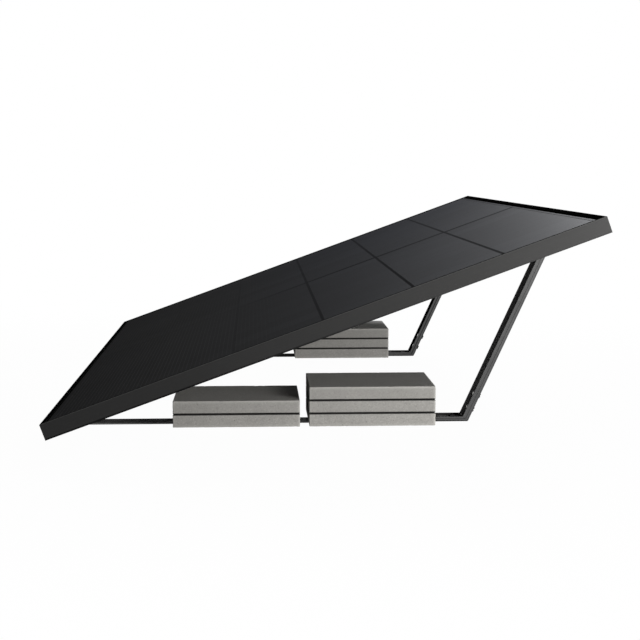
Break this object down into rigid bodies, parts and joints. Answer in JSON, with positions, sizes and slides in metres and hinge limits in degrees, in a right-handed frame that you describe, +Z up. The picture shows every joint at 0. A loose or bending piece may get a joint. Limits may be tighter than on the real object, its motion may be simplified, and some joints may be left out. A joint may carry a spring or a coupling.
{
  "type": "solar ballast mount",
  "caption": "Framed solar module tilted on two flat-roof side frames: ground straps, leaning rear legs and stacks of concrete ballast slabs.",
  "frame": {"origin": "on the roof, under the middle of the whole mount's bounding box", "axes": "+X up the module's slope as seen from above (low edge at -X, rear legs at +X), +Y along the module's long side, +Z up"},
  "size_m": [1.0766, 1.722, 0.4489],
  "materials": {
    "black_frame": "black anodised extrusion, satin",
    "bare_aluminium": "mill finish",
    "solar_glass": "low-iron solar glass with an anti-reflection coat",
    "solar_cells": "dark blue-black half-cut cells under encapsulant",
    "black_backsheet": "black backsheet film",
    "box_plastic": "black moulded plastic",
    "black_steel": "dark grey-black coated steel",
    "rubber_pad": "black rubber",
    "concrete": "pale grey cast concrete, fine mottling",
    "zinc_steel": "bright zinc-plated steel"
  },
  "bodies": {
    "root": {"frame_low": "black_frame", "frame_high": "black_frame", "frame_left": "black_frame", "frame_right": "black_frame", "corner_keys": "bare_aluminium", "front_glass": "solar_glass", "cell_sheet": "solar_cells", "backsheet": "black_backsheet", "junction_box_1": "box_plastic", "junction_lid_1": "box_plastic", "junction_box_2": "box_plastic", "junction_lid_2": "box_plastic", "junction_box_3": "box_plastic", "junction_lid_3": "box_plastic", "base_strap_left": "black_steel", "foot_channel_left": "black_steel", "leg_channel_left": "black_steel", "knee_plate_left": "black_steel", "front_bracket_left": "black_steel", "top_bracket_left": "black_steel", "front_pad_left": "rubber_pad", "rear_pad_left": "rubber_pad", "front_slab_left_1": "concrete", "front_slab_left_2": "concrete", "rear_slab_left_1": "concrete", "rear_slab_left_2": "concrete", "rear_slab_left_3": "concrete", "knee_bolts_left": "zinc_steel", "knee_nuts_left": "zinc_steel", "base_screws_left": "zinc_steel", "base_nuts_left": "zinc_steel", "module_bolts_left": "zinc_steel", "module_nuts_left": "zinc_steel", "leg_top_bolt_left": "zinc_steel", "leg_top_nut_left": "zinc_steel", "base_strap_right": "black_steel", "foot_channel_right": "black_steel", "leg_channel_right": "black_steel", "knee_plate_right": "black_steel", "front_bracket_right": "black_steel", "top_bracket_right": "black_steel", "front_pad_right": "rubber_pad", "rear_pad_right": "rubber_pad", "front_slab_right_1": "concrete", "front_slab_right_2": "concrete", "rear_slab_right_1": "concrete", "rear_slab_right_2": "concrete", "rear_slab_right_3": "concrete", "knee_bolts_right": "zinc_steel", "knee_nuts_right": "zinc_steel", "base_screws_right": "zinc_steel", "base_nuts_right": "zinc_steel", "module_bolts_right": "zinc_steel", "module_nuts_right": "zinc_steel", "leg_top_bolt_right": "zinc_steel", "leg_top_nut_right": "zinc_steel"}
  },
  "joints": []
}
